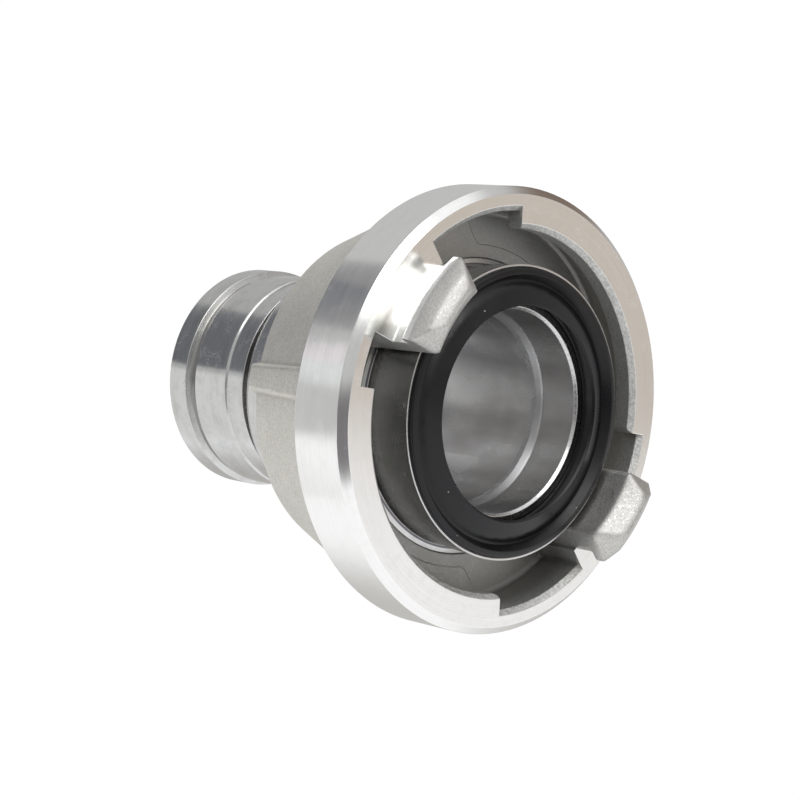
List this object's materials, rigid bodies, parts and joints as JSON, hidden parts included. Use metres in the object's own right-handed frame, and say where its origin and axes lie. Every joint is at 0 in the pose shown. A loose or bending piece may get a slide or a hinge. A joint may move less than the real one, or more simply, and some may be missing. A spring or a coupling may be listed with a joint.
{
  "type": "quarter turn fire hose coupling",
  "caption": "Hose-end coupling half with hooked lugs that lock with a quarter turn, a swivelling lug ring, a lip seal and a ribbed hose tail.",
  "frame": {"origin": "centre of the hose tail's end, on which the part stands", "axes": "+Z along the flow axis towards the coupling face, the lugs lie on the X axis"},
  "size_m": [0.098, 0.098, 0.1006],
  "materials": {
    "ring_alloy": "blasted casting with turned rim and face",
    "tail_alloy": "turned, lightly scratched",
    "seal_rubber": "satin moulded",
    "spring_wire": "bright spring steel"
  },
  "bodies": {
    "tail": {"hose_tail": "tail_alloy", "face_seal": "seal_rubber", "retaining_ring": "spring_wire"},
    "ring": {"lug_ring": "ring_alloy"}
  },
  "joints": [
    {"name": "lug_ring_swivel", "type": "hinge", "parent": "tail", "child": "ring", "pos_m": [0, 0, 0.0726], "axis": [0, 0, 1], "continuous": true}
  ]
}
